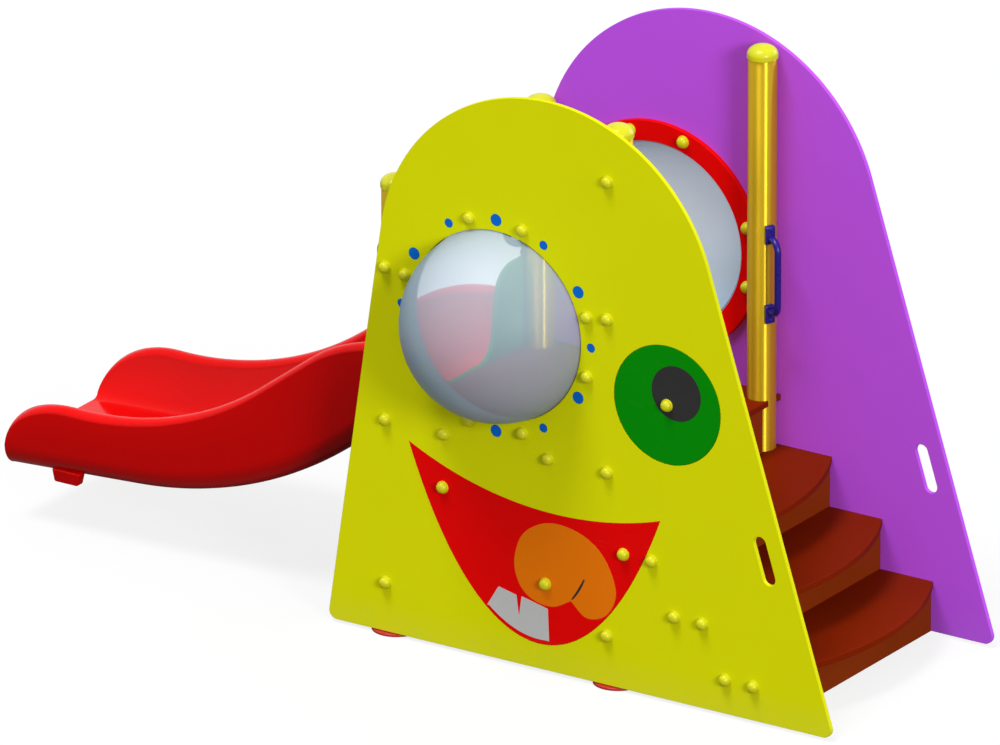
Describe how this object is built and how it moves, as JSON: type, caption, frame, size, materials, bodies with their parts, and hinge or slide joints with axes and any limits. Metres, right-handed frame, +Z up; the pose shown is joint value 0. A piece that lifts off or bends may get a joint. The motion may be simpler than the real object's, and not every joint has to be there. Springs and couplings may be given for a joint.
{
  "type": "playground slide",
  "caption": "Low play tower: deck on round posts between two shaped side panels with bubble windows, steps at one end, a double-walled slide at the other, and a spinning eye disc.",
  "frame": {"origin": "centre of the whole object's bounding box on the ground plane, under the base discs", "axes": "+X from the slide end to the steps, +Y from the yellow panel with the face to the purple panel, +Z up"},
  "size_m": [3.0934, 1.494, 1.8489],
  "materials": {
    "yellow_board": "satin sheet",
    "purple_board": "satin sheet",
    "red_board": "satin sheet",
    "green_board": "satin sheet",
    "dark_board": "satin sheet",
    "grey_board": "satin sheet",
    "orange_board": "satin sheet",
    "brown_board": "textured board",
    "brown_riser": "textured board",
    "red_slide": "rotomoulded, glossy",
    "yellow_post": "powder coat",
    "yellow_cap": "moulded",
    "navy_handle": "moulded",
    "red_base": "powder coat",
    "clear_dome": "clear polycarbonate",
    "zinc_steel": "zinc plated"
  },
  "bodies": {
    "frame": {"base_disc_slide_far": "red_base", "base_disc_slide_near": "red_base", "base_disc_step_far": "red_base", "base_disc_step_near": "red_base", "deck_board": "brown_board", "deck_bracket_slide_far": "zinc_steel", "deck_bracket_slide_near": "zinc_steel", "deck_bracket_step_far": "zinc_steel", "deck_bracket_step_near": "zinc_steel", "dome_far": "clear_dome", "dome_near": "clear_dome", "dome_ring_far": "red_board", "dome_ring_near": "red_board", "eye_pivot": "yellow_cap", "handle_slide_far": "navy_handle", "handle_slide_near": "navy_handle", "handle_step_far": "navy_handle", "handle_step_near": "navy_handle", "mouth_bolt_corner": "yellow_cap", "mouth_bolt_tongue": "yellow_cap", "mouth_plate": "red_board", "panel_far": "purple_board", "panel_near": "yellow_board", "post_cap_slide_far": "yellow_cap", "post_cap_slide_near": "yellow_cap", "post_cap_step_far": "yellow_cap", "post_cap_step_near": "yellow_cap", "post_slide_far": "yellow_post", "post_slide_near": "yellow_post", "post_step_far": "yellow_post", "post_step_near": "yellow_post", "riser_1": "brown_riser", "riser_2": "brown_riser", "riser_3": "brown_riser", "riser_4": "brown_riser", "slide_bolt_high_far": "green_board", "slide_bolt_high_near": "green_board", "slide_bolt_low_far": "green_board", "slide_bolt_low_near": "green_board", "slide_chute": "red_slide", "slide_entry_panel": "green_board", "teeth_plate": "grey_board", "tongue_plate": "orange_board", "tread_1": "brown_board", "tread_2": "brown_board", "tread_3": "brown_board", "tread_bracket_1_far": "zinc_steel", "tread_bracket_1_near": "zinc_steel", "tread_bracket_2_far": "zinc_steel", "tread_bracket_2_near": "zinc_steel", "tread_bracket_3_far": "zinc_steel", "tread_bracket_3_near": "zinc_steel"},
    "eye_spinner": {"eye_disc": "green_board", "eye_pupil": "dark_board"}
  },
  "joints": [
    {"name": "eye_spin", "type": "hinge", "parent": "frame", "child": "eye_spinner", "pos_m": [0.95931, -0.4603, 0.964], "axis": [0, 1, 0], "continuous": true}
  ]
}
